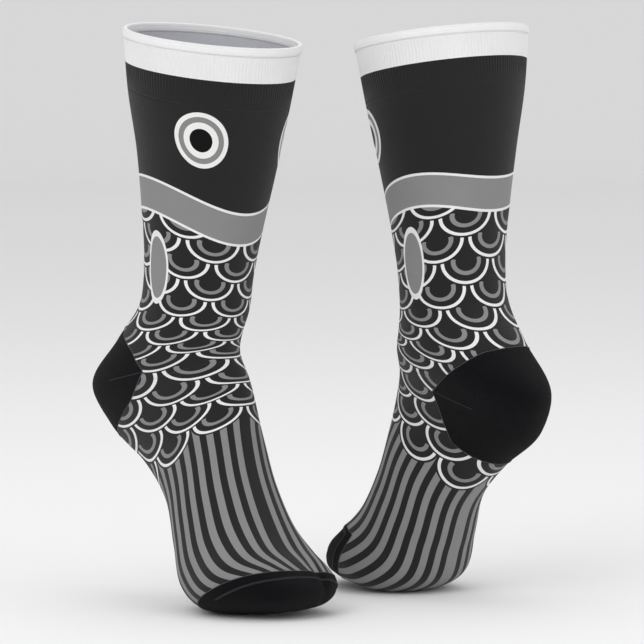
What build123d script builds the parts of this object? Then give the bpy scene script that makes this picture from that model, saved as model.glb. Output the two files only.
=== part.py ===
from build123d import *
import os
from dataclasses import dataclass
from math import atan2, cos, degrees, hypot, pi, radians, sin

# A pair of crew socks that keep the shape of the feet inside them, both up on tiptoe.
#
# One sock is modelled in its own foot frame, in millimetres: +X towards the toes, +Y towards
# the other foot, +Z up, with the origin on the floor below the ankle. The left sock is the
# mirror image of the right one. The pair then stands toe to toe, and the row's origin is at
# the bottom centre of the pair's box.

# Leg
CUFF_TOP = 375.0            # floor to the middle of the cuff's upper edge, under the welt
CUFF_FORWARD = 20.5         # the middle of that edge, ahead of the foot frame's origin
CUFF_DEPTH = 115.0          # outside, shin to calf
CUFF_WIDTH = 123.0          # outside, side to side
CUFF_TILT = 8.5             # the edge drops towards the shin, degrees
LEG_TILT = 4.0              # extra tilt of the knitted courses half way down the leg, degrees
ANKLE_WIDTH = 75.0          # outside, side to side, where the leg is narrowest

# Foot
FOOT_LENGTH = 258.0         # heel to toe tip, along the sole
HEEL_WIDTH = 68.0
ARCH_WIDTH = 62.0
WAIST_WIDTH = 77.0          # just behind the ball of the foot
BALL_WIDTH = 93.0
TOE_WIDTH = 80.0
TIP_WIDTH = 50.0

# Fabric
WALL = 1.5                  # one layer of knitted fabric, with its terry loops
RIB_HEIGHT = 36.0           # the ribbed cuff below the welt
WELT_HEIGHT = 6.0           # the turned welt around the opening, on top of the cuff
WELT_WALL = 3.2             # across the fold of the welt, centred on the cuff's wall
WELT_ROUND = 1.3            # rounding of the fold
ELASTIC = 0.8               # one elastic thread, across and high
ELASTIC_TURNS = 3           # rounds of elastic thread laid in the welt
ELASTIC_CLEARANCE = 0.15    # free space around each thread
SEAM_HEIGHT = 0.8           # linked seams stand proud of the fabric
SEAM_WIDTH = 1.6
TOE_SEAM_SETBACK = 9.0      # toe seam to the toe cap's edge
GORE_LENGTH = 36.0          # each heel gore, back from the heel's corner

# Stance of the pair
TURN_OUT = 45.0             # each foot is turned from the row's X axis, degrees
STANCE_ACROSS = 183.0       # between the two ankles, along X
STANCE_ALONG = 28.0         # between the two ankles, along Y

# Places on a foot form, as x and z in its side view, scaled to FOOT_LENGTH
FORM_LENGTH = 258.0
HEEL_CORNER = (-5.0, 150.0)     # where the heel pocket starts on each flank
HEEL_TOP = (-50.0, 179.0)       # on its upper edge, towards the back
HEEL_BOTTOM = (-33.0, 91.0)     # on its lower edge, towards the sole
INSTEP = (47.0, 167.0)          # the leg meets the foot along a line from the corner to here
TOE_CAP_SOLE = (47.0, 0.0)      # the toe cap's edge on the sole
TOE_CAP_TOP = (104.0, 31.0)     # the toe cap's edge on top of the toes
TOE_CAP_SKEW = 18.0             # the edge runs back towards the little toe, degrees

LEG_STATIONS = 5                # sections above the ankle, the cuff's upper edge included
SECTION_POINTS = 16             # spline points round one section
REACH = 1500.0                  # well over twice the length of a sock, for cutting blocks
OVERRUN = 20.0                  # how far the inside runs on past the cuff's upper edge


@dataclass
class Section:
    """An oval section of the sock, from its back point to its front point."""

    back: tuple
    front: tuple
    width: float
    shift: float = 0.0

    def plane(self):
        """The section's plane: x from back to front, y towards the other foot."""
        middle = ((self.back[0] + self.front[0]) / 2, self.shift, (self.back[1] + self.front[1]) / 2)
        rise = atan2(self.front[1] - self.back[1], self.front[0] - self.back[0])
        return Plane(origin=middle, x_dir=(cos(rise), 0, sin(rise)), z_dir=(-sin(rise), 0, cos(rise)))

    def depth(self):
        """The distance from the back point to the front point."""
        return hypot(self.front[0] - self.back[0], self.front[1] - self.back[1])

    def face(self, grow=0.0):
        """The oval, with its outline moved outwards by grow."""
        along = self.depth() / 2 + grow
        across = self.width / 2 + grow
        angles = [2 * pi * i / SECTION_POINTS for i in range(SECTION_POINTS)]
        outline = Spline([(-along * cos(a), across * sin(a)) for a in angles], periodic=True)
        return self.plane() * make_face(outline)


def on_form(point):
    """A place on the foot form, scaled to the foot's length."""
    return (point[0] * FOOT_LENGTH / FORM_LENGTH, point[1] * FOOT_LENGTH / FORM_LENGTH)


def foot_sections():
    """Sections from the ankle, round the heel and along the sole to the toes."""
    form = [
        # back or sole     front or top     width               towards the other foot
        ((-26.0, 233.0), (45.0, 218.0), ANKLE_WIDTH, 1.0),
        ((-31.0, 203.0), (43.5, 197.0), 0.96 * ANKLE_WIDTH, 0.0),
        ((-52.0, 176.0), (44.0, 182.0), HEEL_WIDTH, -4.0),
        ((-79.0, 140.0), (46.0, 168.0), HEEL_WIDTH, -5.0),
        ((-67.0, 115.0), (49.0, 155.0), 0.94 * HEEL_WIDTH, 0.0),
        ((-32.0, 89.0), (51.0, 139.0), ARCH_WIDTH, 2.0),
        ((-6.0, 64.0), (53.0, 116.0), 1.1 * ARCH_WIDTH, 2.0),
        ((6.5, 33.0), (60.0, 87.0), WAIST_WIDTH, 2.0),
        ((17.0, 6.0), (73.0, 61.0), 0.93 * BALL_WIDTH, 2.0),
        ((44.0, -5.0), (86.0, 46.0), BALL_WIDTH, 1.0),
        ((77.0, -4.0), (98.0, 38.0), TOE_WIDTH, 3.0),
        ((98.0, -1.0), (112.0, 28.0), TIP_WIDTH, 7.0),
        ((109.0, 5.0), (118.0, 21.0), 0.6 * TIP_WIDTH, 8.0),
    ]
    return [Section(on_form(back), on_form(front), width, shift) for back, front, width, shift in form]


def leg_section(share):
    """The section at a share of the way from the ankle up to the cuff's upper edge."""
    ankle = foot_sections()[0]
    ankle_x, ankle_z = (ankle.back[0] + ankle.front[0]) / 2, (ankle.back[1] + ankle.front[1]) / 2
    swell = share + 0.1 * sin(pi * share)
    depth = ankle.depth() + (CUFF_DEPTH - ankle.depth()) * swell
    width = ANKLE_WIDTH + (CUFF_WIDTH - ANKLE_WIDTH) * share ** 1.35
    ankle_tilt = degrees(atan2(ankle.back[1] - ankle.front[1], ankle.front[0] - ankle.back[0]))
    tilt = radians(ankle_tilt + (CUFF_TILT - ankle_tilt) * share + LEG_TILT * sin(pi * share))
    x = ankle_x + (CUFF_FORWARD - ankle_x) * share
    z = ankle_z + (CUFF_TOP - ankle_z) * share
    half_x, half_z = depth / 2 * cos(tilt), depth / 2 * sin(tilt)
    return Section((x - half_x, z + half_z), (x + half_x, z - half_z), width, 1.0 + 2.0 * share)


def sock_sections():
    """Every section, from the cuff's upper edge down to the toe tip."""
    leg = [leg_section(1 - i / LEG_STATIONS) for i in range(LEG_STATIONS)]
    return leg + foot_sections()


def half_space(plane):
    """A large block on the positive side of a plane."""
    return plane * Box(REACH, REACH, REACH, align=(Align.CENTER, Align.CENTER, Align.MIN))


def cuff_plane(drop=0.0):
    """The plane of the cuff's upper edge, moved down the leg by drop, facing up."""
    return sock_sections()[0].plane().offset(-drop)


def edge_plane(start, end, drop=0.0):
    """A plane through two places of the side view, square to it, facing up from start to end."""
    (x0, z0), (x1, z1) = on_form(start), on_form(end)
    rise = atan2(z1 - z0, x1 - x0)
    plane = Plane(origin=(x0, 0, z0), x_dir=(cos(rise), 0, sin(rise)), z_dir=(-sin(rise), 0, cos(rise)))
    return plane.offset(-drop)


def toe_plane(setback=0.0):
    """The plane of the toe cap's edge, moved towards the toes by setback, facing the leg."""
    plane = edge_plane(TOE_CAP_SOLE, TOE_CAP_TOP)
    skewed = Plane(origin=plane.origin, x_dir=plane.x_dir.rotate(Axis.Z, TOE_CAP_SKEW),
                   z_dir=plane.z_dir.rotate(Axis.Z, TOE_CAP_SKEW))
    return skewed.offset(-setback)


def body_of_sock(grow=0.0):
    """The solid that the sock's surface bounds, with its surface moved outwards by grow."""
    sections = sock_sections()
    solid = loft([section.face(grow) for section in sections])
    if grow < 0:
        mouth = sections[0].face(grow)
        solid += extrude(mouth, OVERRUN, dir=cuff_plane().z_dir)
        # The inside stops short of the toe tip and of the floor by the same wall.
        solid &= half_space(sections[-1].plane().offset(-grow))
    return solid & half_space(Plane.XY.offset(max(-grow, 0.0)))


def heel_wedge():
    """The block behind the heel pocket's upper and lower edges."""
    corner, top, bottom = on_form(HEEL_CORNER), on_form(HEEL_TOP), on_form(HEEL_BOTTOM)

    def beyond(point):
        run = (point[0] - corner[0], point[1] - corner[1])
        far = REACH / hypot(*run)
        return (corner[0] + run[0] * far, 0, corner[1] + run[1] * far)

    outline = Polyline((corner[0], 0, corner[1]), beyond(top), beyond(bottom), close=True)
    return extrude(make_face(outline), REACH / 2, dir=(0, 1, 0), both=True)


def welt_nodes():
    """The turned welt around the opening, with its elastic threads laid inside the fold."""
    edge = sock_sections()[0]
    up = cuff_plane().z_dir
    middle = -WALL / 2

    def band(half_wall, bottom, height):
        ring = edge.face(middle + half_wall) - edge.face(middle - half_wall)
        return extrude(Pos(up * bottom) * ring, height, dir=up)

    welt = band(WELT_WALL / 2, 0, WELT_HEIGHT)
    top = [line for line in welt.edges() if (line.center() - cuff_plane().origin).dot(up) > WELT_HEIGHT / 2
           and line.length > CUFF_DEPTH]
    welt = fillet(top, WELT_ROUND)
    pitch = ELASTIC + ELASTIC_CLEARANCE
    welt -= band(ELASTIC / 2 + ELASTIC_CLEARANCE, 0, ELASTIC_TURNS * pitch + ELASTIC_CLEARANCE)
    threads = [band(ELASTIC / 2, ELASTIC_CLEARANCE + i * pitch, ELASTIC) for i in range(ELASTIC_TURNS)]
    return {"welt": welt, "welt_elastic": threads[0].fuse(*threads[1:])}


def seam(plane, keep):
    """A linked seam: a raised line of the surface between a plane and SEAM_WIDTH below it."""
    slab = half_space(plane.offset(-SEAM_WIDTH)) - half_space(plane)
    return (body_of_sock(SEAM_HEIGHT) & slab & keep) - body_of_sock()


def sock_nodes():
    """Every piece of the right sock, by name, in the foot frame."""
    fabric = body_of_sock() - body_of_sock(-WALL)
    over_rib_edge = half_space(cuff_plane(RIB_HEIGHT))
    over_instep = half_space(edge_plane(HEEL_CORNER, INSTEP))
    over_toe_cap = half_space(toe_plane())
    behind_corner = heel_wedge()

    rib_cuff = fabric & over_rib_edge
    heel = fabric & behind_corner
    tube = fabric - behind_corner - over_rib_edge
    leg = tube & over_instep
    front = tube - over_instep
    foot = front & over_toe_cap
    toe_cap = front - over_toe_cap

    corner_x, corner_z = on_form(HEEL_CORNER)
    flanks = Pos(corner_x, 0, corner_z) * Box(GORE_LENGTH, REACH, REACH,
                                             align=(Align.MAX, Align.CENTER, Align.CENTER))
    gores = seam(edge_plane(HEEL_CORNER, INSTEP), flanks)
    top_of_toes = half_space(Plane.XY.offset(on_form(TOE_CAP_TOP)[1] / 3))
    toe_seam = seam(toe_plane(TOE_SEAM_SETBACK), top_of_toes)

    nodes = welt_nodes()
    nodes.update({"rib_cuff": rib_cuff, "leg": leg, "heel": heel, "heel_gores": gores})
    nodes.update({"foot": foot, "toe_cap": toe_cap, "toe_seam": toe_seam})
    return nodes


def solids_of(shape):
    """A plain compound of the shape's solids, so that it can be moved or mirrored as one."""
    return Compound([Solid(solid.wrapped) for solid in shape.solids()])


def pair():
    """Both socks in place, with the row's origin at the bottom centre of their box."""
    placed = {}
    for name, shape in sock_nodes().items():
        right = solids_of(shape)
        left = right.mirror(Plane.XZ)
        placed["right_" + name] = Rot(0, 0, -TURN_OUT) * right
        placed["left_" + name] = Pos(STANCE_ACROSS, STANCE_ALONG, 0) * Rot(0, 0, 180 - TURN_OUT) * left
    box = Compound([solid for shape in placed.values() for solid in shape.solids()]).bounding_box()
    middle = box.center()
    return {name: Pos(-middle.X, -middle.Y, -box.min.Z) * shape for name, shape in placed.items()}


def main():
    """Build every piece and write each to its own file."""
    os.makedirs("parts", exist_ok=True)
    for name, shape in pair().items():
        export_step(shape, "parts/" + name + ".step")
        print(name, len(shape.solids()), round(shape.volume))


main()
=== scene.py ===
"""A pair of printed crew socks that stand on tiptoe and keep the shape of the feet inside."""

import logging
from dataclasses import dataclass, field
from enum import Enum
from math import atan, cos, pi, radians, sin

import bpy
import numpy as np
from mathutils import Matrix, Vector


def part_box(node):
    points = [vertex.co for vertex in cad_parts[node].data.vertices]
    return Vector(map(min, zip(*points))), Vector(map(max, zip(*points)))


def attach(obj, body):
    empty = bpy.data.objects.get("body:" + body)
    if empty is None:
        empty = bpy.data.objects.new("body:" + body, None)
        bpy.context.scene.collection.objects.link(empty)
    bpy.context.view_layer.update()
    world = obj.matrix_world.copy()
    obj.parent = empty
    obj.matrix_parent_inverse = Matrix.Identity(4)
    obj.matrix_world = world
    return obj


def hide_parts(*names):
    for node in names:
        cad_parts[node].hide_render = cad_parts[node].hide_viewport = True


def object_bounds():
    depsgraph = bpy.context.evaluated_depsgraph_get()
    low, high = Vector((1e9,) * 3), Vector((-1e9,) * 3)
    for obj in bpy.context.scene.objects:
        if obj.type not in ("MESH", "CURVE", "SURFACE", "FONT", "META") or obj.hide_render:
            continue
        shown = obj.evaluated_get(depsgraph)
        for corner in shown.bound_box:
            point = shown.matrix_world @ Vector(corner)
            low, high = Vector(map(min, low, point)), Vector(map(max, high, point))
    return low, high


LOG = logging.getLogger("socks")
MM = 0.001

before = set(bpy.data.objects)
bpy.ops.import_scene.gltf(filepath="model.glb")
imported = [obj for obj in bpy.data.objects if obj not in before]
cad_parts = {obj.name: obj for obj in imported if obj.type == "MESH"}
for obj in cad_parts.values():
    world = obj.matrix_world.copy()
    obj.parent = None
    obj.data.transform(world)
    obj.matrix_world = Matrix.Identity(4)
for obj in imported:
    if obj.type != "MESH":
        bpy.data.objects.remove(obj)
CAD_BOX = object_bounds()


class Side(Enum):
    """Which foot a sock is for."""

    RIGHT = "right"
    LEFT = "left"


class Region(Enum):
    """The part of the knitted tube that a face belongs to."""

    LEG = "leg"
    FOOT = "foot"
    HEEL = "heel"
    TOE_CAP = "toe_cap"


# ---------------------------------------------------------------- colours and nodes


def linear(hex_colour: str) -> tuple[float, float, float, float]:
    """Turn an sRGB hex colour into a linear one.

    Args:
        hex_colour: Six hex digits, such as "2d2d2d".

    Returns:
        Linear red, green and blue, and an alpha of 1.
    """
    parts = [int(hex_colour[i:i + 2], 16) / 255 for i in (0, 2, 4)]
    return (*[p / 12.92 if p <= 0.04045 else ((p + 0.055) / 1.055) ** 2.4 for p in parts], 1.0)


def add(tree: bpy.types.NodeTree, kind: str, *inputs: object, **settings: object) -> bpy.types.NodeSocket:
    """Add one node, with its settings, and link or set its inputs.

    Args:
        tree: The node tree.
        kind: The node's type.
        inputs: A socket, a value or None for each input in order.
        settings: The node's own properties. One named "names" gives inputs by name.

    Returns:
        The node's first enabled output, or its first input where it has none.
    """
    made = tree.nodes.new(kind)
    named = settings.pop("names", {})
    for name, value in settings.items():
        setattr(made, name, value)
    wanted = list(zip([s for s in made.inputs if s.enabled], inputs))
    wanted += [(made.inputs[name], value) for name, value in named.items()]
    for socket, value in wanted:
        if isinstance(value, bpy.types.NodeSocket):
            tree.links.new(value, socket)
        elif value is not None:
            socket.default_value = value
    outputs = [s for s in made.outputs if s.enabled]
    return outputs[0] if outputs else made.inputs[0]


def work_out(tree: bpy.types.NodeTree, known: dict[str, object],
             steps: list[tuple]) -> dict[str, object]:
    """Add a chain of Math nodes.

    Args:
        tree: The node tree.
        known: Sockets and numbers by name.
        steps: Rows of a result's name, an operation, and names or numbers to work on.

    Returns:
        The known values, with every result added.
    """
    for name, operation, *operands in steps:
        values = [known[o] if isinstance(o, str) else o for o in operands]
        known[name] = add(tree, "ShaderNodeMath", *values, operation=operation)
    return known


def blank_material(name: str) -> tuple[bpy.types.Material, bpy.types.NodeTree]:
    """A material with no nodes yet, and its node tree."""
    material = bpy.data.materials.new(name)
    material.use_nodes = True
    material.node_tree.nodes.clear()
    return material, material.node_tree


def map_axes(tree: bpy.types.NodeTree, name: str) -> tuple[bpy.types.NodeSocket, bpy.types.NodeSocket]:
    """The two directions of a UV map."""
    split = tree.nodes.new("ShaderNodeSeparateXYZ")
    tree.links.new(add(tree, "ShaderNodeUVMap", uv_map=name), split.inputs[0])
    return split.outputs[0], split.outputs[1]


# ---------------------------------------------------------------- the foot form


@dataclass(frozen=True)
class FootForm:
    """The foot that fills a sock, as oval sections from the leg opening to the toes.

    Each station has x and z of its back point and of its front point in the side view, half its
    width, how far its middle lies towards the other foot, and how square the oval is, all in
    millimetres. X runs towards the toes, Y towards the other foot and Z up.
    """

    stations: tuple = (
        (-35.5, 389.2, 78.2, 372.2, 61.6, 3.0, 2.0),
        (-35.5, 348.0, 70.0, 328.0, 54.5, 3.0, 2.0),
        (-32.0, 309.0, 61.5, 286.0, 46.0, 3.0, 2.0),
        (-28.0, 270.0, 51.5, 248.0, 41.0, 2.0, 2.0),
        (-26.0, 233.0, 45.0, 218.0, 37.5, 1.0, 2.0),
        (-31.0, 203.0, 43.5, 197.0, 36.0, 0.0, 2.0),
        (-52.0, 176.0, 43.5, 182.0, 34.5, -4.0, 2.05),
        (-79.0, 140.0, 46.0, 169.0, 34.0, -5.0, 2.1),
        (-67.0, 115.0, 49.0, 156.0, 31.5, 0.0, 2.1),
        (-32.0, 89.0, 51.5, 140.0, 30.5, 2.0, 2.1),
        (-6.0, 64.0, 53.5, 117.5, 34.5, 2.0, 2.15),
        (6.5, 33.0, 61.0, 88.5, 38.5, 2.0, 2.2),
        (18.0, 8.0, 73.5, 62.0, 43.0, 2.0, 2.3),
        (44.0, -1.0, 86.0, 46.0, 46.5, 1.0, 2.4),
        (77.0, 1.0, 98.0, 37.0, 40.0, 3.0, 2.4),
        (101.0, 4.5, 105.5, 31.0, 31.0, 6.0, 2.4),
    )
    tip_round: float = 23.0        # radius of the rounded toe tip
    tip_start: float = 30.0        # degrees of that round already behind the last station
    floor_level: float = -0.1      # the sole is pressed flat at this height
    floor_soft: float = 1.5        # how gently it lifts off the floor round the flat
    cleft_depth: float = 1.7       # the dent between the big toe and the next one
    cleft_place: float = 15.0      # where it runs, towards the other foot
    cleft_width: float = 4.0
    samples: int = 1440            # points round a section while its girth is measured

    def path(self) -> np.ndarray:
        """Distance gone at each station, by how far its back and front points move."""
        table = np.array(self.stations)
        steps = np.sqrt(((table[1:, :4] - table[:-1, :4]) ** 2).sum(1))
        return np.concatenate([[0.0], np.cumsum(steps)])

    def row_values(self, s: np.ndarray) -> np.ndarray:
        """Interpolate the stations smoothly.

        Args:
            s: Station numbers, whole or between two.

        Returns:
            A row of the seven sizes for each.
        """
        table, gone = np.array(self.stations), self.path()
        slope = np.gradient(table, gone, axis=0)
        s = np.clip(s, 0, len(table) - 1)
        low = np.minimum(s.astype(int), len(table) - 2)
        t = (s - low)[:, None]
        span = (gone[low + 1] - gone[low])[:, None]
        a, b = table[low], table[low + 1]
        return ((2 * t ** 3 - 3 * t ** 2 + 1) * a + (t ** 3 - 2 * t ** 2 + t) * span * slope[low]
                + (3 * t ** 2 - 2 * t ** 3) * b + (t ** 3 - t ** 2) * span * slope[low + 1])

    def grid(self, s: np.ndarray, turns: np.ndarray) -> np.ndarray:
        """Points of the surface on a grid.

        Args:
            s: Station numbers, up to the last one plus 1 for the closed toe tip.
            turns: Places round each section, 0 at the front, 1/4 on the outer flank, 1/2 at the
                back, by girth.

        Returns:
            An array of rows, columns and x, y, z in millimetres.
        """
        last = len(self.stations) - 1
        rows = self.row_values(np.minimum(s, last))
        back, front = rows[:, [0, 1]], rows[:, [2, 3]]
        middle, half = (back + front) / 2, (front - back) / 2
        width, shift, square = rows[:, 4], rows[:, 5], rows[:, 6]
        start = radians(self.tip_start)
        angle = start + (pi / 2 - start) * np.clip(s - last, 0, 1)
        shrink = np.cos(angle) / cos(start)
        middle = middle + np.outer(self.tip_round * (np.sin(angle) - sin(start)), [1.0, -0.12])
        half, width = half * shrink[:, None], width * shrink
        theta = np.linspace(0, 2 * pi, self.samples + 1)

        def oval(k: int, angles: np.ndarray) -> np.ndarray:
            power = 2 / square[k]
            c = np.sign(np.cos(angles)) * np.abs(np.cos(angles)) ** power
            w = np.sign(np.sin(angles)) * np.abs(np.sin(angles)) ** power
            x, z = middle[k][:, None] + half[k][:, None] * c
            return np.stack([x, shift[k] - width[k] * w, z], axis=1)

        out = np.empty((len(s), len(turns), 3))
        for k in range(len(s)):
            dense = oval(k, theta)
            girth = np.concatenate([[0.0], np.cumsum(np.linalg.norm(np.diff(dense, axis=0), axis=1))])
            share = girth / girth[-1] if girth[-1] > 1e-9 else theta / (2 * pi)
            out[k] = oval(k, np.interp(np.mod(turns, 1.0), share, theta))
        return self.press(out)

    def press(self, points: np.ndarray) -> np.ndarray:
        """Press the sole flat on the floor and dent the toes.

        Args:
            points: Surface points.

        Returns:
            The same points, moved.
        """
        x, y, z = points[..., 0], points[..., 1], points[..., 2]
        fore = np.clip((x - 70) / 40, 0, 1) ** 2
        dent = self.cleft_depth * fore * np.exp(-((y - self.cleft_place - 0.1 * (x - 100)) / self.cleft_width) ** 2)
        top = np.clip((z - 8) / 14, 0, 1)
        moved = points.copy()
        moved[..., 2] -= dent * top
        moved[..., 0] -= 0.9 * dent
        above = (moved[..., 2] - self.floor_level) / self.floor_soft
        lifted = np.where(above > 1, above, np.exp(np.minimum(above, 1) - 1))
        moved[..., 2] = self.floor_level + self.floor_soft * lifted
        return moved


# ---------------------------------------------------------------- the print


@dataclass(frozen=True)
class FishPrint:
    """A plain carp, laid evenly on the sock in columns round it and rows along it.

    It has a dark head band with a round eye, a grey gill band, a leaf-shaped fin, overlapping
    round scales and an evenly striped tail. It is mirrored about the front and the back.
    """

    columns: int = 3               # columns from the front to the back
    row: float = 29.0              # millimetres of one row
    first_row: float = -5.0        # the row at the leg opening
    head_top: float = -4.2
    cheek: float = -1.5            # the middle of the wavy lower edge of the head
    sway: float = 0.2              # how far that edge waves
    gill: float = 0.75             # width of the gill band
    line: float = 0.06             # width of the light lines
    fin: tuple = (1.5, 0.35, 0.24, 0.85)      # column, row, half width and half height
    eye_place: tuple = (0.8, -2.85)
    eye_squeeze: float = 0.55      # columns are this much wider than rows at the calf
    # Eye rings from the outside in: colour and radius in rows.
    eye: tuple = (("f2f2f0", 0.62), ("8b8b8b", 0.52), ("f2f2f0", 0.4), ("050505", 0.26))
    scale_rim: tuple = (0.4, 0.46)            # inner and outer radius of a scale's rim
    scale_ring: tuple = (0.2, 0.28)           # and of the ring inside it
    last_row: float = 5.5
    stripes: float = 4.0           # tail stripes in one column

    def on_fabric(self, form: FootForm, s: np.ndarray, f: np.ndarray) -> tuple[np.ndarray, np.ndarray]:
        """Column and row of the print at stations s and eighths of the girth f."""
        gone = np.append(form.path(), form.path()[-1] + 20) / 2 ** 0.5
        return self.columns * np.abs(f) / 4, self.first_row + np.interp(s, np.arange(len(gone)), gone) / self.row


# ---------------------------------------------------------------- finishes


@dataclass(frozen=True)
class Knit:
    """Plain jersey knit of combed cotton with nylon: matt, soft, with fine upright wales."""

    name: str
    tint: str
    roughness: float = 0.88
    sheen: float = 0.12
    relief: float = 0.35           # millimetres from the yarn's top to the gaps
    shade: float = 0.10            # how much darker the gaps between the stitches are painted, as painted shade
    mottle: float = 0.05           # slow change of tone over the fabric
    fuzz_grain: float = 1.2        # millimetres

    def stitch_height(self, tree: bpy.types.NodeTree) -> bpy.types.NodeSocket:
        """The height of the knitted loops, 0 to 1, from the piece's own "knit" map."""
        known = dict(zip("xy", map_axes(tree, "knit")))
        work_out(tree, known, [
            ("fx", "FRACT", "x"), ("cx", "SUBTRACT", "fx", 0.5), ("ax", "ABSOLUTE", "cx"), ("e", "MULTIPLY", "ax", 2.0),
            ("lean", "MULTIPLY_ADD", "e", 0.55, "y"), ("fy", "FRACT", "lean"), ("cy", "SUBTRACT", "fy", 0.5),
            ("g", "MULTIPLY", "cy", 2.0), ("gg", "MULTIPLY", "g", "g"), ("yarn", "SUBTRACT", 1.0, "gg"),
            ("off", "SUBTRACT", "e", 0.45), ("oo", "MULTIPLY", "off", "off"), ("leg", "MULTIPLY_ADD", "oo", -2.2, 1.0),
            ("height", "MULTIPLY", "yarn", "leg"),
        ])
        return known["height"]

    def colour(self, tree: bpy.types.NodeTree) -> object:
        """The colour before the stitches shade it."""
        return linear(self.tint)[:3]

    def build(self) -> bpy.types.Material:
        """Make the material."""
        material, tree = blank_material(self.name)
        height = self.stitch_height(tree)
        where = tree.nodes.new("ShaderNodeTexCoord").outputs["Object"]
        slow = add(tree, "ShaderNodeTexNoise", names={"Vector": where, "Scale": 38.0, "Detail": 3.0})
        fuzz = add(tree, "ShaderNodeTexNoise",
                   names={"Vector": where, "Scale": 1 / (self.fuzz_grain * MM), "Detail": 2.0})
        known = work_out(tree, {"h": height, "slow": slow, "fuzz": fuzz}, [
            # Painted shade: the gaps between the stitches are darkened in the colour itself; the slow noise is the
            # yarn's own uneven tone.
            ("deep", "MULTIPLY_ADD", "h", self.shade, 1.0 - self.shade),
            ("slow0", "SUBTRACT", "slow", 0.5), ("tone", "MULTIPLY_ADD", "slow0", self.mottle * 2, 1.0),
            ("shade", "MULTIPLY", "deep", "tone"),
            ("relief", "MULTIPLY_ADD", "fuzz", 0.35, "h"),
        ])
        tinted = add(tree, "ShaderNodeVectorMath", self.colour(tree), operation="SCALE",
                     names={"Scale": known["shade"]})
        bump = add(tree, "ShaderNodeBump", names={"Strength": 0.55, "Distance": self.relief * MM,
                                                  "Height": known["relief"]})
        shader = add(tree, "ShaderNodeBsdfPrincipled", names={
            "Base Color": tinted, "Roughness": self.roughness, "Sheen Weight": self.sheen, "Sheen Roughness": 0.5,
            "Specular IOR Level": 0.14, "IOR": 1.5, "Normal": bump})
        add(tree, "ShaderNodeOutputMaterial", shader)
        return material


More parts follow.
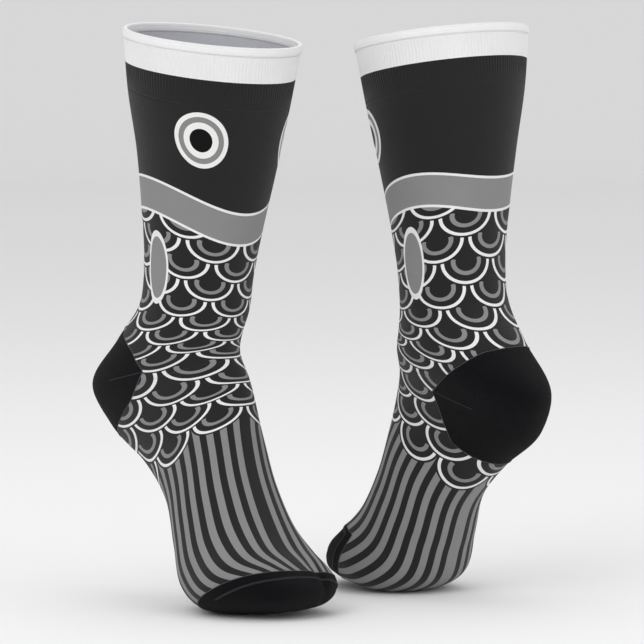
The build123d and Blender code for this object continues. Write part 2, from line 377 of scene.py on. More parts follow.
@dataclass(frozen=True)
class PrintedKnit(Knit):
    """The same jersey in white, dye-printed with the fish: the ink sinks in and stays matt."""

    ink: str = "242425"
    grey: str = "8b8b8b"
    bare: str = "efeff0"
    drawing: FishPrint = field(default_factory=FishPrint)

    def colour(self, tree: bpy.types.NodeTree) -> bpy.types.NodeSocket:
        """The printed fish, from the "print" map."""
        fish = self.drawing
        known = dict(zip("uv", map_axes(tree, "print")))
        # Scales: two lattices of discs, half a pitch apart; where two discs meet, the upper wins.
        work_out(tree, known, [
            ("a", "ABSOLUTE", "u"),
            ("ca", "ROUND", "a"), ("ax", "SUBTRACT", "a", "ca"), ("va", "ROUND", "v"), ("ay", "SUBTRACT", "v", "va"),
            ("a_", "SUBTRACT", "a", 0.5), ("cb", "ROUND", "a_"), ("bx", "SUBTRACT", "a_", "cb"),
            ("v_", "SUBTRACT", "v", 0.5), ("vb_", "ROUND", "v_"), ("by", "SUBTRACT", "v_", "vb_"),
            ("vb", "ADD", "vb_", 0.5),
            ("ax2", "MULTIPLY", "ax", "ax"), ("ar2", "MULTIPLY_ADD", "ay", "ay", "ax2"), ("ar", "SQRT", "ar2"),
            ("bx2", "MULTIPLY", "bx", "bx"), ("br2", "MULTIPLY_ADD", "by", "by", "bx2"), ("br", "SQRT", "br2"),
            ("ain0", "LESS_THAN", "ar", 0.5), ("alast", "LESS_THAN", "va", fish.last_row),
            ("ain", "MULTIPLY", "ain0", "alast"),
            ("bin0", "LESS_THAN", "br", 0.5), ("blast", "LESS_THAN", "vb", fish.last_row + 0.25),
            ("bin", "MULTIPLY", "bin0", "blast"),
            ("upper", "LESS_THAN", "va", "vb"), ("nob", "SUBTRACT", 1.0, "bin"), ("free", "MAXIMUM", "upper", "nob"),
            ("use", "MULTIPLY", "ain", "free"), ("other", "SUBTRACT", 1.0, "use"), ("any", "MAXIMUM", "ain", "bin"),
            ("x1", "MULTIPLY", "ax", "use"), ("x", "MULTIPLY_ADD", "bx", "other", "x1"),
            ("y1", "MULTIPLY", "ay", "use"), ("y", "MULTIPLY_ADD", "by", "other", "y1"),
            ("r1", "MULTIPLY", "ar", "use"), ("r", "MULTIPLY_ADD", "br", "other", "r1"),
            ("ang", "ARCTAN2", "x", "y"), ("turn", "ABSOLUTE", "ang"),
            ("rim0", "GREATER_THAN", "r", fish.scale_rim[0]), ("rim1", "LESS_THAN", "r", fish.scale_rim[1]),
            ("rim2", "LESS_THAN", "turn", 1.85), ("rim3", "MULTIPLY", "rim0", "rim1"),
            ("rim4", "MULTIPLY", "rim3", "rim2"),
            ("scale_white", "MULTIPLY", "rim4", "any"),
            ("ring0", "GREATER_THAN", "r", fish.scale_ring[0]), ("ring1", "LESS_THAN", "r", fish.scale_ring[1]),
            ("ring2", "MULTIPLY", "ring0", "ring1"), ("ring3", "MULTIPLY", "ring2", "rim2"),
            ("scale_grey", "MULTIPLY", "ring3", "any"),
            # tail: even stripes
            ("rest", "SUBTRACT", 1.0, "any"), ("low", "GREATER_THAN", "v", fish.last_row),
            ("tail", "MULTIPLY", "rest", "low"),
            ("stripe0", "MULTIPLY", "a", fish.stripes), ("stripe1", "FRACT", "stripe0"),
            ("stripe", "GREATER_THAN", "stripe1", 0.5), ("tail_grey", "MULTIPLY", "stripe", "tail"),
            # fin: a leaf
            ("fx0", "SUBTRACT", "a", fish.fin[0]), ("fx", "DIVIDE", "fx0", fish.fin[2]),
            ("fxx", "MULTIPLY", "fx", "fx"),
            ("fy0", "SUBTRACT", "v", fish.fin[1]), ("fy", "DIVIDE", "fy0", fish.fin[3]),
            ("leaf", "MULTIPLY_ADD", "fy", "fy", "fxx"), ("fin_in", "LESS_THAN", "leaf", 1.0),
            ("fin_core", "LESS_THAN", "leaf", 0.7),
            # head and gill: bands with a wavy edge between them
            ("wave0", "MULTIPLY", "a", 2 * pi / fish.columns), ("wave", "COSINE", "wave0"),
            ("edge", "MULTIPLY_ADD", "wave", fish.sway, fish.cheek), ("past", "SUBTRACT", "v", "edge"),
            ("head_in", "LESS_THAN", "past", 0.0), ("gill_line", "LESS_THAN", "past", fish.gill + fish.line),
            ("gill_core", "LESS_THAN", "past", fish.gill), ("head_line", "LESS_THAN", "past", fish.line),
            ("over", "LESS_THAN", "v", fish.head_top),
        ])
        ink, grey, bare = linear(self.ink), linear(self.grey), linear(self.bare)
        layers = [("scale_grey", grey), ("scale_white", bare), ("tail_grey", grey), ("fin_in", bare),
                  ("fin_core", grey),
                  ("gill_line", bare), ("gill_core", grey), ("head_line", bare), ("head_in", ink), ("over", bare)]
        for i, (tint, radius) in enumerate(fish.eye):
            work_out(tree, known, [
                ("ex0", "SUBTRACT", "a", fish.eye_place[0]), ("ex", "DIVIDE", "ex0", fish.eye_squeeze),
                ("ey", "SUBTRACT", "v", fish.eye_place[1]), ("exx", "MULTIPLY", "ex", "ex"),
                ("ss", "MULTIPLY_ADD", "ey", "ey", "exx"), (f"eye{i}", "LESS_THAN", "ss", radius ** 2),
            ])
            layers.append((f"eye{i}", linear(tint)))
        colour = ink
        for mask, tint in layers:
            mixed = tree.nodes.new("ShaderNodeMix")
            mixed.data_type = "RGBA"
            tree.links.new(known[mask], mixed.inputs["Factor"])
            if isinstance(colour, bpy.types.NodeSocket):
                tree.links.new(colour, mixed.inputs[6])
            else:
                mixed.inputs[6].default_value = colour
            mixed.inputs[7].default_value = tint
            colour = mixed.outputs[2]
        return colour


@dataclass(frozen=True)
class Elastic:
    """Covered elastic: a rubber core wound with white nylon, slightly shiny."""

    name: str = "covered_elastic"
    tint: str = "d9d8d4"

    def build(self) -> bpy.types.Material:
        """Make the material."""
        material, tree = blank_material(self.name)
        where = tree.nodes.new("ShaderNodeTexCoord").outputs["Object"]
        wind = add(tree, "ShaderNodeTexWave", wave_type="BANDS", bands_direction="DIAGONAL",
                   names={"Vector": where, "Scale": 900.0, "Distortion": 1.0})
        mixed = add(tree, "ShaderNodeVectorMath", linear(self.tint)[:3], operation="SCALE",
                    names={"Scale": work_out(tree, {"w": wind}, [("o", "MULTIPLY_ADD", "w", 0.2, 0.8)])["o"]})
        bump = add(tree, "ShaderNodeBump", names={"Strength": 0.4, "Distance": 0.1 * MM, "Height": wind})
        shader = add(tree, "ShaderNodeBsdfPrincipled",
                     names={"Base Color": mixed, "Roughness": 0.6, "Normal": bump})
        add(tree, "ShaderNodeOutputMaterial", shader)
        return material


@dataclass(frozen=True)
class Paper:
    """Matt white paper for a studio sweep."""

    name: str = "studio_paper"
    tint: str = "f4f4f4"

    def build(self) -> bpy.types.Material:
        """Make the material."""
        material, tree = blank_material(self.name)
        shader = add(tree, "ShaderNodeBsdfPrincipled",
                     names={"Base Color": linear(self.tint), "Roughness": 1.0, "Specular IOR Level": 0.0})
        add(tree, "ShaderNodeOutputMaterial", shader)
        return material


# ---------------------------------------------------------------- meshes


def mesh_object(name: str, points: np.ndarray, faces: list, materials: list) -> bpy.types.Object:
    """A mesh object at the origin, from points in metres and faces."""
    mesh = bpy.data.meshes.new(name)
    mesh.from_pydata(points.tolist(), [], faces)
    for material in materials:
        mesh.materials.append(material)
    made = bpy.data.objects.new(name, mesh)
    bpy.context.scene.collection.objects.link(made)
    return made


def plain_mesh(piece: bpy.types.Object) -> None:
    """Put the result of a piece's modifiers in its mesh, and drop the modifiers."""
    result = bpy.data.meshes.new_from_object(piece.evaluated_get(bpy.context.evaluated_depsgraph_get()))
    result.name = piece.name
    piece.modifiers.clear()
    piece.data = result


def tree_with(name: str, inputs: list[tuple[str, str, object]]) -> bpy.types.NodeTree:
    """An empty geometry tree with a geometry input, named inputs and a geometry output."""
    tree = bpy.data.node_groups.new(name, "GeometryNodeTree")
    tree.interface.new_socket("Geometry", in_out="INPUT", socket_type="NodeSocketGeometry")
    tree.interface.new_socket("Geometry", in_out="OUTPUT", socket_type="NodeSocketGeometry")
    for label, kind, value in inputs:
        made = tree.interface.new_socket(label, in_out="INPUT", socket_type=kind)
        if value is not None:
            made.default_value = value
    return tree


def apply_tree(piece: bpy.types.Object, tree: bpy.types.NodeTree, values: dict[str, object]) -> None:
    """Run a geometry tree on a piece with the given named inputs, and keep the plain result."""
    modifier = piece.modifiers.new(tree.name, "NODES")
    modifier.node_group = tree
    identifiers = {item.name: item.identifier for item in tree.interface.items_tree
                   if item.item_type == "SOCKET" and item.in_out == "INPUT"}
    for label, value in values.items():
        modifier[identifiers[label]] = value
    plain_mesh(piece)


def rib_tree() -> bpy.types.NodeTree:
    """Raise upright ribs on a tube that has "wale" and "raise" attributes."""
    tree = tree_with("raised_ribs", [("Rib count", "NodeSocketFloat", 148.0), ("Rib height", "NodeSocketFloat", 0.0003),
                                     ("Lining", "NodeSocketMaterial", None)])
    start = tree.nodes.new("NodeGroupInput")
    wale = add(tree, "GeometryNodeInputNamedAttribute", "wale", data_type="FLOAT")
    lift = add(tree, "GeometryNodeInputNamedAttribute", "raise", data_type="FLOAT")
    known = work_out(tree, {"wale": wale, "lift": lift, "count": start.outputs["Rib count"],
                            "height": start.outputs["Rib height"]}, [
        ("turn", "MULTIPLY", "wale", "count"), ("angle", "MULTIPLY", "turn", 2 * pi), ("wave", "COSINE", "angle"),
        ("sunk", "MULTIPLY_ADD", "wave", 0.5, -0.5), ("deep", "MULTIPLY", "sunk", "height"),
        ("move", "MULTIPLY", "deep", "lift")])
    shift = add(tree, "ShaderNodeVectorMath", add(tree, "GeometryNodeInputNormal"), operation="SCALE",
                names={"Scale": known["move"]})
    moved = add(tree, "GeometryNodeSetPosition", names={"Geometry": start.outputs["Geometry"], "Offset": shift})
    whole = add(tree, "GeometryNodeRealizeInstances", moved)
    inner = add(tree, "GeometryNodeInputNamedAttribute", "inner", data_type="BOOLEAN")
    lined = add(tree, "GeometryNodeSetMaterial", names={"Geometry": whole, "Selection": inner,
                                                        "Material": start.outputs["Lining"]})
    end = tree.nodes.new("NodeGroupOutput")
    tree.links.new(lined, end.inputs[0])
    return tree


def stitch_tree() -> bpy.types.NodeTree:
    """Lay slanted thread stitches along a line."""
    tree = tree_with("laid_stitches", [("Pitch", "NodeSocketFloat", 0.0016), ("Length", "NodeSocketFloat", 0.0022),
                                       ("Thickness", "NodeSocketFloat", 0.0008), ("Slant", "NodeSocketFloat", 0.5),
                                       ("Thread", "NodeSocketMaterial", None)])
    start = tree.nodes.new("NodeGroupInput")
    line = add(tree, "GeometryNodeMeshToCurve", start.outputs["Geometry"])
    even = tree.nodes.new("GeometryNodeResampleCurve")
    even.mode = "LENGTH"
    tree.links.new(line, even.inputs["Curve"])
    tree.links.new(start.outputs["Pitch"], even.inputs["Length"])
    ball = add(tree, "GeometryNodeMeshIcoSphere", names={"Radius": 0.5, "Subdivisions": 2})
    size = add(tree, "ShaderNodeCombineXYZ", start.outputs["Thickness"], start.outputs["Thickness"],
               start.outputs["Length"])
    thread = add(tree, "GeometryNodeTransform", names={"Geometry": ball, "Scale": size})
    away = add(tree, "GeometryNodeInputNamedAttribute", "outward", data_type="FLOAT_VECTOR")
    along = add(tree, "GeometryNodeInputTangent")
    slanted = add(tree, "ShaderNodeVectorMath", along, away, operation="CROSS_PRODUCT")
    weighed = add(tree, "ShaderNodeVectorMath", slanted, operation="SCALE", names={"Scale": start.outputs["Slant"]})
    heading = add(tree, "ShaderNodeVectorMath", along, weighed, operation="ADD")
    turned = add(tree, "FunctionNodeAlignRotationToVector", names={"Vector": heading}, axis="Z")
    placed = add(tree, "GeometryNodeInstanceOnPoints",
                 names={"Points": even.outputs[0], "Instance": thread, "Rotation": turned})
    whole = add(tree, "GeometryNodeRealizeInstances", placed)
    dressed = add(tree, "GeometryNodeSetMaterial", names={"Geometry": whole, "Material": start.outputs["Thread"]})
    round_ = add(tree, "GeometryNodeSetShadeSmooth", dressed)
    end = tree.nodes.new("NodeGroupOutput")
    tree.links.new(round_, end.inputs[0])
    return tree


@dataclass
class Tube:
    """The knitted tube as a grid of points, snapped to the edges between its pieces."""

    points: np.ndarray             # rows, columns, xyz in the foot frame, millimetres
    s: np.ndarray                  # station of each point
    f: np.ndarray                  # eighths of the girth of each point, 0 to 8 from the front
    closed: bool = False           # the last row is one point
    faces: list = field(default_factory=list)
    normals: np.ndarray = None

    def settle(self) -> None:
        """Work out outward normals and the starting faces."""
        p = self.points
        along = np.gradient(p, axis=0)
        around = np.roll(p, -1, axis=1) - np.roll(p, 1, axis=1)
        n = np.cross(along, around)
        n /= np.linalg.norm(n, axis=2, keepdims=True) + 1e-12
        centre = p.mean(1, keepdims=True)
        if ((p - centre) * n).sum(2)[10].mean() < 0:
            n = -n
        self.normals = n
        rows, columns = p.shape[:2]
        k, j = np.meshgrid(np.arange(rows - 1), np.arange(columns), indexing="ij")
        right = (j + 1) % columns
        quads = np.stack([k * columns + j, k * columns + right, (k + 1) * columns + right,
                          (k + 1) * columns + j], -1).reshape(-1, 4)
        self.faces = quads
        if self.closed:
            pole = (rows - 1) * columns
            self.normals[-1] = self.normals[-2].mean(0) / np.linalg.norm(self.normals[-2].mean(0))
            self.faces = [tuple(q) if q[2] < pole else (q[0], q[1], pole) for q in quads]

    def snap(self, value: np.ndarray, held: np.ndarray) -> np.ndarray:
        """Move grid points that lie next to an edge line onto it.

        Args:
            value: A field that is 0 on the line, for each grid point.
            held: True for points that may not move.

        Returns:
            The field after the move, exactly 0 on the line.
        """
        value = value.copy()
        best = np.full(value.shape, 1e9)
        target = {}
        for axis in (0, 1):
            other = np.roll(value, -1, axis=axis)
            crossing = value * other < 0
            if axis == 0:
                crossing[-1] = False
            for k, j in zip(*np.nonzero(crossing)):
                k2, j2 = (k + 1, j) if axis == 0 else (k, (j + 1) % value.shape[1])
                t = value[k, j] / (value[k, j] - value[k2, j2])
                (a, b, t) = ((k, j), (k2, j2), t) if t < 0.5 else ((k2, j2), (k, j), 1 - t)
                if held[a] and not held[b]:
                    a, b, t = b, a, 1 - t
                if t < best[a] and not held[a]:
                    best[a], target[a] = t, (b, t)
        old_p, old_s, old_f = self.points.copy(), self.s.copy(), self.f.copy()
        old_n = self.normals.copy()
        for a, (b, t) in target.items():
            self.points[a] = old_p[a] * (1 - t) + old_p[b] * t
            self.s[a] = old_s[a] * (1 - t) + old_s[b] * t
            step = old_f[b] - old_f[a]
            step = (step + 4) % 8 - 4
            self.f[a] = (old_f[a] + step * t) % 8
            normal = old_n[a] * (1 - t) + old_n[b] * t
            self.normals[a] = normal / np.linalg.norm(normal)
            value[a] = 0.0
        return value

    def split(self, value: np.ndarray) -> None:
        """Cut quads whose opposite corners lie on either side of a line."""
        flat = value.ravel()
        kept, cut = [], []
        for face in self.faces:
            signs = np.sign(flat[list(face)])
            if len(face) == 4 and (signs > 0).any() and (signs < 0).any():
                a, b, c, d = face
                halves = [(a, b, c), (a, c, d)] if signs[0] == 0 and signs[2] == 0 else [(a, b, d), (b, c, d)]
                cut.extend(halves)
            else:
                kept.append(tuple(face))
        self.faces = kept + cut


# ---------------------------------------------------------------- the sock


@dataclass
class Sock:
    """One sock: welt, ribbed cuff, leg, heel, foot and toe cap, with its seams and gores."""

    side: Side
    heel_edge: tuple                # the heel pocket's edge in the side view: x and z from the sole up
    gore_station: float             # the station that the heel gores follow
    toe_edge: tuple                 # x and z of the toe cap's edge at the middle of the foot
    toe_seam: float                 # the same edge to the toe seam, along X
    form: FootForm = field(default_factory=FootForm)
    turn_out: float = 45.0          # degrees from the row's X axis
    wall: float = 1.5
    welt_start: float = 0.15        # station of the welt's lower edge
    welt_height: float = 6.0
    welt_half: float = 1.55         # half the fold's thickness
    welt_forward: float = -0.45     # from the leg opening's middle to the fold's, along X
    rib_end: float = 0.95           # station of the rib cuff's lower edge
    rib_count: int = 148
    rib_height: float = 0.3
    rows: int = 300
    columns: int = 256
    tip_rows: int = 18
    wales: int = 168                # needles of the knitting machine, round the sock
    course: float = 0.9             # millimetres of one knitted course
    instep: tuple = (-5.0, 150.0, 0.327)
    toe_skew: float = 0.33
    gore_length: float = 34.0
    rims: dict = field(default_factory=dict)

    @property
    def name(self) -> str:
        """The side's name."""
        return self.side.value

    def place(self, points: np.ndarray) -> np.ndarray:
        """Points of the foot frame, in the row frame, in metres."""
        c, s = cos(radians(self.turn_out)), sin(radians(self.turn_out))
        flip = 1.0 if self.side is Side.RIGHT else -1.0
        turn = np.array([[flip * c, s, 0.0], [-flip * s, c, 0.0], [0.0, 0.0, 1.0]])
        low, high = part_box(self.name + "_welt")
        back_x, _, front_x, _, _, shift, _ = self.form.stations[0]
        middle = turn @ [(back_x + front_x) / 2 + self.welt_forward, shift, 0.0]
        at = np.array([(low.x + high.x) / 2, (low.y + high.y) / 2, CAD_BOX[0].z])
        return (points @ turn.T - middle) * MM + at

    def place_direction(self, vectors: np.ndarray) -> np.ndarray:
        """Directions of the foot frame, in the row frame."""
        return (self.place(vectors) - self.place(np.zeros(3))) / MM

    def stations_between(self, low: float, high: float, count: int) -> np.ndarray:
        """Stations spaced evenly by the path along the sock."""
        gone = self.form.path()
        numbers = np.arange(len(gone))
        ends = np.interp([low, high], numbers, gone)
        return np.interp(np.linspace(*ends, count), gone, numbers)

    def tube(self, s: np.ndarray, columns: int, closed: bool) -> Tube:
        """The knitted tube over a run of stations."""
        turns = np.arange(columns) / columns
        made = Tube(self.form.grid(s, turns), np.repeat(s[:, None], columns, 1),
                    np.repeat(8 * turns[None, :], len(s), 0), closed)
        made.settle()
        return made

    def print_place(self, tube: Tube) -> np.ndarray:
        """Column and row of the print at every point of a tube."""
        f = np.where(tube.f > 4, tube.f - 8, tube.f).ravel()
        return np.stack(FishPrint().on_fabric(self.form, tube.s.ravel(), f), 1)

    def shell(self, name: str, tube: Tube, faces: list, outside: bpy.types.Material,
              inside: bpy.types.Material, printed: bool) -> bpy.types.Object:
        """Make one piece of the tube, with its wall, as a closed mesh.

        Args:
            name: The piece's name.
            tube: The tube it is part of.
            faces: The tube's faces that the piece covers.
            outside: Material of the outer face.
            inside: Material of the inner face.
            printed: Whether it carries the print.

        Returns:
            The piece.
        """
        used = np.unique(np.concatenate([np.array(f) for f in faces]))
        index = {int(v): i for i, v in enumerate(used)}
        outer = [tuple(index[int(v)] for v in f) for f in faces]
        flat_n = tube.normals.reshape(-1, 3)[used]
        flat_p = tube.points.reshape(-1, 3)[used]
        count = len(used)
        points = self.place(np.vstack([flat_p, flat_p - self.wall * flat_n]))
        sample = outer[len(outer) // 2]
        a, b, c = (points[v] for v in sample[:3])
        facing = np.dot(np.cross(b - a, c - a), self.place_direction(flat_n[sample[0]]))
        if facing < 0:
            outer = [f[::-1] for f in outer]
        edges = {(f[i], f[(i + 1) % len(f)]) for f in outer for i in range(len(f))}
        rim = [(a, b) for a, b in edges if (b, a) not in edges]
        inner = [tuple(v + count for v in f[::-1]) for f in outer]
        sides = [(b, a, a + count, b + count) for a, b in sorted(rim)]
        piece = mesh_object(name, points, outer + inner + sides, [outside, inside])
        mesh = piece.data
        parts = np.zeros(len(mesh.polygons), int)
        parts[len(outer):len(outer) + len(inner)] = 1
        mesh.polygons.foreach_set("material_index", parts)
        mesh.polygons.foreach_set("use_smooth", [True] * (2 * len(outer)) + [False] * len(sides))
        is_inner = mesh.attributes.new("inner", "BOOLEAN", "FACE")
        is_inner.data.foreach_set("value", parts.astype(bool))
        self.add_maps(mesh, tube, used, printed)
        self.rims[name] = (used, sorted(rim))
        return piece

    def add_maps(self, mesh: bpy.types.Mesh, tube: Tube, used: np.ndarray, printed: bool) -> None:
        """Give a piece its knit map, and its print map where it is printed."""
        count = len(used)
        corners = np.empty(len(mesh.loops), int)
        mesh.loops.foreach_get("vertex_index", corners)
        source = corners % count
        f = tube.f.ravel()[used][source]
        starts = np.empty(len(mesh.polygons), int)
        totals = np.empty(len(mesh.polygons), int)
        mesh.polygons.foreach_get("loop_start", starts)
        mesh.polygons.foreach_get("loop_total", totals)
        owner = np.repeat(np.arange(len(starts)), totals)
        most = np.maximum.reduceat(f, starts)[owner]
        least = np.minimum.reduceat(f, starts)[owner]
        f = np.where((most - least > 4) & (f < 4), f + 8, f)
        gone = np.interp(tube.s.ravel()[used][source], np.arange(len(self.form.stations) + 1),
                         np.append(self.form.path(), self.form.path()[-1] + 14)) * 0.7
        knit = mesh.uv_layers.new(name="knit")
        knit.data.foreach_set("uv", np.stack([f / 8 * self.wales, gone / self.course], 1).ravel())
        if not printed:
            return
        place = self.print_place(tube)[used]
        layer = mesh.uv_layers.new(name="print")
        layer.data.foreach_set("uv", place[source].ravel())

    def heel_field(self, points: np.ndarray) -> np.ndarray:
        """Negative behind the heel pocket's edge."""
        x, z = np.array(self.heel_edge).T
        return points[..., 0] - np.interp(points[..., 2], z, x)

    def toe_field(self, points: np.ndarray) -> np.ndarray:
        """Positive in front of the toe cap's edge."""
        x, z = np.array(self.toe_edge).T
        return points[..., 0] - self.toe_skew * points[..., 1] - np.interp(points[..., 2], z, x)

    def build_body(self, cloth: dict[str, bpy.types.Material]) -> None:
        """Make the leg, heel, foot and toe cap."""
        last = len(self.form.stations) - 1
        s = np.concatenate([self.stations_between(self.rib_end, last, self.rows),
                            last + np.linspace(0, 1, self.tip_rows + 1)[1:]])
        tube = self.tube(s, self.columns, True)
        held = np.zeros(tube.s.shape, bool)
        held[[0, -1]] = True
        fields, far = {}, 50.0
        for region, low, high, make, before, after in (
                (Region.HEEL, 3.5, 11.0, self.heel_field, far, far),
                (Region.TOE_CAP, 11.5, 17.0, self.toe_field, -far, -far),
                (Region.LEG, 5.0, 9.5, self.instep_field, far, -far)):
            value = np.where(tube.s <= low, before, np.where(tube.s < high, make(tube.points), after))
            value[np.abs(value) < 1e-6] = 1e-6
            value = tube.snap(value, held)
            held |= value == 0
            fields[region] = value
            tube.split(value)
        heel, toe, leg = (fields[r].ravel() for r in (Region.HEEL, Region.TOE_CAP, Region.LEG))
        groups = {region: [] for region in Region}
        for face in tube.faces:
            ids = list(face)
            if np.sign(heel[ids]).sum() < 0:
                groups[Region.HEEL].append(face)
            elif np.sign(toe[ids]).sum() > 0:
                groups[Region.TOE_CAP].append(face)
            elif np.sign(leg[ids]).sum() > 0:
                groups[Region.LEG].append(face)
            else:
                groups[Region.FOOT].append(face)
        for region, faces in groups.items():
            printed = region in (Region.LEG, Region.FOOT)
            piece = self.shell(f"{self.name}_{region.value}_knit", tube, faces,
                               cloth["print" if printed else "heel"], cloth["inside"], printed)
            self.dress(piece, "printed_knit" if printed else "heel_knit", f"{self.name}_{region.value}")
        self.body_tube = tube

    def instep_field(self, points: np.ndarray) -> np.ndarray:
        """Positive above the line where the leg meets the foot."""
        x, z, rise = self.instep
        return points[..., 2] - (z + rise * (points[..., 0] - x))

    def build_cuff(self, cloth: dict[str, bpy.types.Material], ribs: bpy.types.NodeTree) -> None:
        """Make the ribbed cuff."""
        columns = self.rib_count * 8
        s = self.stations_between(self.welt_start, self.rib_end, 27)
        tube = self.tube(s, columns, False)
        piece = self.shell(f"{self.name}_rib_cuff_knit", tube, [tuple(q) for q in tube.faces], cloth["print"],
                           cloth["inside"], True)
        count = columns * len(s)
        wale = np.tile(np.arange(columns) / columns, len(s))
        share = np.repeat(np.linspace(0, 1, len(s)), columns)
        lift = np.clip(share / 0.12, 0, 1) * np.clip((1 - share) / 0.3, 0, 1)
        for name, values in (("wale", np.tile(wale, 2)), ("raise", np.concatenate([lift, np.zeros(count)]))):
            made = piece.data.attributes.new(name, "FLOAT", "POINT")
            made.data.foreach_set("value", values.astype(np.float32))
        apply_tree(piece, ribs, {"Rib count": float(self.rib_count), "Rib height": self.rib_height * MM,
                                 "Lining": cloth["inside"]})
        self.dress(piece, "cuff_knit", self.name + "_rib_cuff")

    def build_welt(self, cloth: dict[str, bpy.types.Material]) -> None:
        """Make the turned welt, a soft fold that closes round the elastic threads."""
        count, steps = 480, 28
        ring = self.form.grid(np.array([self.welt_start]), np.arange(count) / count)[0]
        flat = self.form.stations[0]
        up = np.array([flat[1] - flat[3], 0.0, flat[2] - flat[0]])
        up /= np.linalg.norm(up)
        ahead = np.roll(ring, -1, 0) - np.roll(ring, 1, 0)
        out = np.cross(ahead, up)
        out /= np.linalg.norm(out, axis=1, keepdims=True)
        if ((ring - ring.mean(0)) * out).sum() < 0:
            out = -out
        angles = np.linspace(0, 2 * pi, steps, endpoint=False)
        power = 0.55
        wide = self.welt_half * np.sign(np.cos(angles)) * np.abs(np.cos(angles)) ** power
        tall = self.welt_height / 2 * (1 + np.sign(np.sin(angles)) * np.abs(np.sin(angles)) ** power)
        points = (ring[:, None] + out[:, None] * (wide[None, :, None] - self.wall / 2) + up * tall[None, :, None])
        k, j = np.meshgrid(np.arange(count), np.arange(steps), indexing="ij")
        k2, j2 = (k + 1) % count, (j + 1) % steps
        faces = np.stack([k * steps + j, k2 * steps + j, k2 * steps + j2, k * steps + j2], -1).reshape(-1, 4)
        placed = self.place(points.reshape(-1, 3))
        a, b, c = placed[faces[0][0]], placed[faces[0][1]], placed[faces[0][2]]
        if np.dot(np.cross(b - a, c - a), self.place_direction(out[0])) < 0:
            faces = faces[:, ::-1]
        piece = mesh_object(f"{self.name}_welt_fold", placed, faces.tolist(), [cloth["cuff"]])
        mesh = piece.data
        mesh.polygons.foreach_set("use_smooth", [True] * len(mesh.polygons))
        corners = np.empty(len(mesh.loops), int)
        mesh.loops.foreach_get("vertex_index", corners)
        around, across = (corners // steps).astype(float), (corners % steps).astype(float)
        owner = np.arange(len(corners)) // 4
        for values, whole in ((around, count), (across, steps)):
            most = np.maximum.reduceat(values, np.arange(0, len(values), 4))[owner]
            least = np.minimum.reduceat(values, np.arange(0, len(values), 4))[owner]
            values[(most - least > whole / 2) & (values < whole / 2)] += whole
        knit = mesh.uv_layers.new(name="knit")
        knit.data.foreach_set("uv", np.stack([around / count * self.wales, across / steps * 18], 1).ravel())
        self.dress(piece, "cuff_knit", self.name + "_welt")

    def stitch_line(self, name: str, points: list, outward: list, closed: bool, sizes: dict[str, float],
                    thread: bpy.types.Material, stitches: bpy.types.NodeTree, *stands_for: str) -> None:
        """Lay stitches along lines of the surface.

        Args:
            name: The piece's name.
            points: An array of points in the foot frame for each run.
            outward: The surface's normal at each, likewise.
            closed: Whether each run closes on itself.
            sizes: Pitch, Length, Thickness in millimetres, and Slant.
            thread: The thread's material.
            stitches: The geometry tree that lays them.
            stands_for: CAD nodes that the piece replaces.
        """
        where, edges, normals = [], [], []
        for run, normal in zip(points, outward):
            base = sum(len(w) for w in where)
            where.append(self.place(run + normal * 0.15))
            normals.append(self.place_direction(normal))
            edges += [(base + i, base + i + 1) for i in range(len(run) - 1)]
            if closed:
                edges.append((base + len(run) - 1, base))
        mesh = bpy.data.meshes.new(name)
        mesh.from_pydata(np.vstack(where).tolist(), edges, [])
        away = mesh.attributes.new("outward", "FLOAT_VECTOR", "POINT")
        away.data.foreach_set("vector", np.vstack(normals).astype(np.float32).ravel())
        piece = bpy.data.objects.new(name, mesh)
        bpy.context.scene.collection.objects.link(piece)
        values = {k: v * MM if k != "Slant" else v for k, v in sizes.items()}
        apply_tree(piece, stitches, {**values, "Thread": thread})
        self.dress(piece, "heel_knit", *stands_for)

    def build_toe_seam(self, cloth: dict[str, bpy.types.Material], stitches: bpy.types.NodeTree) -> None:
        """Make the linked seam over the toes."""
        tube = self.body_tube
        value = self.toe_field(tube.points) - self.toe_seam
        value = np.where(tube.s > 12.0, value, -50.0)
        run = []
        for j in range(self.columns):
            crossing = np.nonzero((value[:-1, j] < 0) & (value[1:, j] >= 0))[0]
            if not len(crossing):
                continue
            k = crossing[0]
            t = value[k, j] / (value[k, j] - value[k + 1, j])
            point = tube.points[k, j] * (1 - t) + tube.points[k + 1, j] * t
            if point[2] > 13:
                run.append((j if j < self.columns / 2 else j - self.columns, point, tube.normals[k, j]))
        run.sort(key=lambda item: item[0])
        points = np.array([item[1] for item in run])
        normals = np.array([item[2] for item in run])
        self.stitch_line(f"{self.name}_toe_seam_stitches", [points], [normals], False,
                         {"Pitch": 1.3, "Length": 2.4, "Thickness": 1.0, "Slant": 0.9},
                         cloth["dark_thread"], stitches, self.name + "_toe_seam")

    def build_gores(self, cloth: dict[str, bpy.types.Material], stitches: bpy.types.NodeTree) -> None:
        """Make the line on each flank where the heel's halves were knitted together."""
        turns = np.linspace(0, 1, 721)
        row = self.form.grid(self.gore_station + np.array([-0.01, 0.0, 0.01]), turns)
        corner = max(x for x, z in self.heel_edge)
        runs, outs = [], []
        for flank in (turns < 0.5, turns > 0.5):
            chosen = flank & (row[1][:, 0] < corner - 1) & (row[1][:, 0] > corner - self.gore_length)
            p = row[1][chosen][::4]
            across = np.cross(np.gradient(row[1], axis=0), row[2] - row[0])[chosen][::4]
            across /= np.linalg.norm(across, axis=1, keepdims=True)
            across *= np.sign(((p - [row[1][:, 0].mean(), 0, 0]) * across)[:, 1].sum())
            runs.append(p)
            outs.append(across)
        self.stitch_line(f"{self.name}_heel_gore_stitches", runs, outs, False,
                         {"Pitch": 1.5, "Length": 1.9, "Thickness": 0.75, "Slant": 0.5},
                         cloth["dark_thread"], stitches, self.name + "_heel_gores")

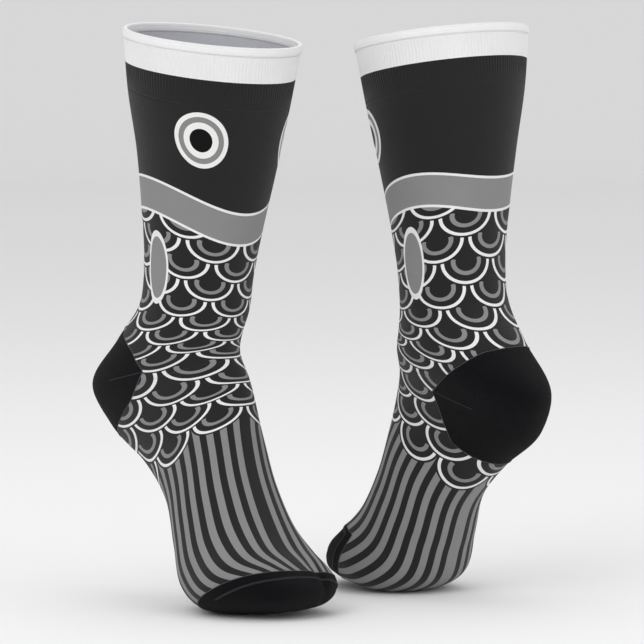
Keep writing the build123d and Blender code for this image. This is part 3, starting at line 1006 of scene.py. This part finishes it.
    def build_edges(self, cloth: dict[str, bpy.types.Material], stitches: bpy.types.NodeTree) -> None:
        """Make the stitches round the heel pocket and the toe cap."""
        tube = self.body_tube
        for part in ("heel", "toe_cap"):
            used, rim = self.rims[f"{self.name}_{part}_knit"]
            following = dict(rim)
            first = rim[0][0]
            loop, here = [first], following[first]
            while here != first and len(loop) <= len(rim):
                loop.append(here)
                here = following[here]
            ids = used[loop]
            self.stitch_line(f"{self.name}_{part}_edge_stitches", [tube.points.reshape(-1, 3)[ids]],
                             [tube.normals.reshape(-1, 3)[ids]], True,
                             {"Pitch": 1.5, "Length": 1.3, "Thickness": 0.5, "Slant": 0.0},
                             cloth["edge_thread"], stitches)

    def dress(self, piece: bpy.types.Object, slot: str, *stands_for: str) -> None:
        """Tie a finished piece to its sock's body and hide the CAD nodes it stands for."""
        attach(piece, self.name + "_sock")
        if stands_for:
            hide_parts(*stands_for)
        LOG.info("%s: %d faces", piece.name, len(piece.data.polygons))

    def build(self, cloth: dict[str, bpy.types.Material], ribs: bpy.types.NodeTree,
              stitches: bpy.types.NodeTree) -> None:
        """Make every piece."""
        self.build_welt(cloth)
        self.build_cuff(cloth, ribs)
        self.build_body(cloth)
        self.build_toe_seam(cloth, stitches)
        self.build_gores(cloth, stitches)
        self.build_edges(cloth, stitches)
        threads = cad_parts[self.name + "_welt_elastic"].data
        threads.materials.clear()
        threads.materials.append(cloth["elastic"])


@dataclass(frozen=True)
class Thread:
    """Polyester sewing thread: tightly twisted, a little smoother than the knit."""

    name: str
    tint: str

    def build(self) -> bpy.types.Material:
        """Make the material."""
        material, tree = blank_material(self.name)
        where = tree.nodes.new("ShaderNodeTexCoord").outputs["Object"]
        # One twist of the thread is about half a millimetre.
        twist = add(tree, "ShaderNodeTexNoise", names={"Vector": where, "Scale": 2000.0, "Detail": 1.0})
        known = work_out(tree, {"t": twist}, [("o", "MULTIPLY_ADD", "t", 0.5, 0.75)])
        tinted = add(tree, "ShaderNodeVectorMath", linear(self.tint)[:3], operation="SCALE",
                     names={"Scale": known["o"]})
        bump = add(tree, "ShaderNodeBump", names={"Strength": 0.3, "Distance": 0.1 * MM, "Height": twist})
        shader = add(tree, "ShaderNodeBsdfPrincipled", names={"Base Color": tinted, "Roughness": 0.7, "Normal": bump})
        add(tree, "ShaderNodeOutputMaterial", shader)
        return material


# ---------------------------------------------------------------- the studio


@dataclass
class Studio:
    """A white paper sweep, soft light and the camera."""

    camera_place: tuple = (0.0012, -2.618, 0.384)
    focal: float = 218.0
    pitch: float = 292.6 / 3900      # how steeply the camera looks down
    sweep_front: float = 9.0
    sweep_depth: float = 7.0         # far enough back to stay behind a camera that circles the pair
    sweep_curve: float = 0.8
    sweep_half_width: float = 9.0
    sweep_height: float = 4.0
    sky: float = 0.76

    def build_sweep(self) -> None:
        """Make the floor and backdrop in one curved sheet."""
        floor = CAD_BOX[0].z
        profile = [(-self.sweep_front, floor), (self.sweep_depth, floor)]
        for i in range(1, 17):
            angle = pi / 2 * i / 16
            profile.append((self.sweep_depth + self.sweep_curve * sin(angle),
                            floor + self.sweep_curve * (1 - cos(angle))))
        profile.append((self.sweep_depth + self.sweep_curve, floor + self.sweep_height))
        points = [(x, y, z) for y, z in profile for x in (-self.sweep_half_width, self.sweep_half_width)]
        faces = [(2 * i, 2 * i + 1, 2 * i + 3, 2 * i + 2) for i in range(len(profile) - 1)]
        sheet = mesh_object("paper_sweep", np.array(points), faces, [Paper().build()])
        sheet.data.polygons.foreach_set("use_smooth", [True] * len(faces))

    def build_light(self, name: str, place: tuple, aim: tuple, size: float, power: float) -> None:
        """Add one soft box."""
        lamp = bpy.data.lights.new(name, "AREA")
        lamp.shape, lamp.size, lamp.energy = "SQUARE", size, power
        holder = bpy.data.objects.new(name, lamp)
        bpy.context.scene.collection.objects.link(holder)
        holder.location = place
        holder.rotation_euler = (Vector(aim) - Vector(place)).to_track_quat("-Z", "Y").to_euler()

    def build(self) -> None:
        """Make the sweep, the lights and the camera."""
        self.build_sweep()
        middle = (0.0, 0.0, 0.2)
        self.build_light("key_box", (-1.1, -1.6, 1.7), middle, 1.6, 14.0)
        self.build_light("fill_box", (1.5, -1.5, 1.1), middle, 1.6, 7.0)
        self.build_light("top_box", (0.0, 0.3, 2.2), middle, 2.0, 8.0)
        bpy.context.scene.view_settings.view_transform = "Standard"
        world = bpy.data.worlds.new("studio")
        world.use_nodes = True
        world.node_tree.nodes["Background"].inputs["Color"].default_value = linear("ffffff")
        world.node_tree.nodes["Background"].inputs["Strength"].default_value = self.sky
        bpy.context.scene.world = world
        lens = bpy.data.cameras.new("camera")
        lens.lens, lens.sensor_width, lens.clip_end = self.focal, 36.0, 50.0
        camera = bpy.data.objects.new("camera", lens)
        bpy.context.scene.collection.objects.link(camera)
        camera.location = self.camera_place
        camera.rotation_euler = (pi / 2 - atan(self.pitch), 0.0, 0.0)
        bpy.context.scene.camera = camera


RIGHT_SOCK = {
    "side": Side.RIGHT,
    "heel_edge": ((-140, 60), (-75, 95), (-60, 105), (-47, 116), (-21, 137), (-3, 158), (-13, 171), (-31, 183),
                  (-52, 195), (-100, 215)),
    "gore_station": 7.0,
    "toe_edge": ((47.5, 0), (103.3, 31), (211.3, 91)),
    "toe_seam": 12.5,
}
LEFT_SOCK = {
    "side": Side.LEFT,
    "heel_edge": ((-140, 70), (-60, 86), (-36, 94), (-27, 99), (-16, 108), (-11, 122), (-5, 142), (-35, 162),
                  (-47, 171), (-62, 176), (-110, 190)),
    "gore_station": 7.7,
    "toe_edge": ((96, 0), (86.3, 22), (82.2, 30), (76, 40), (84, 44), (100, 50), (130, 60)),
    "toe_seam": 7.0,
}


def main() -> None:
    """Build the studio and the pair."""
    logging.basicConfig(level=logging.INFO, format="%(name)s: %(message)s")
    Studio().build()
    cloth = {
        "print": PrintedKnit("printed_jersey", "efeff0").build(),
        "cuff": Knit("white_welt_knit", "f0f0f1").build(),
        # The inside's grey is partly the unprinted yarn's own pale tone and partly painted shade for the hollow of the
        # sock.
        "inside": Knit("bare_inside_knit", "c4c4cb", relief=0.5).build(),
        "heel": Knit("black_terry_backed_knit", "0a090e", roughness=0.95, sheen=0.03, relief=1.6, shade=0.5,
                     mottle=0.35, fuzz_grain=1.6).build(),
        "dark_thread": Thread("black_linking_thread", "17161c").build(),
        "edge_thread": Thread("grey_edge_thread", "55555b").build(),
        "elastic": Elastic().build(),
    }
    ribs, stitches = rib_tree(), stitch_tree()
    for sizes in (RIGHT_SOCK, LEFT_SOCK):
        Sock(**sizes).build(cloth, ribs, stitches)


if __name__ == "__main__":
    main()
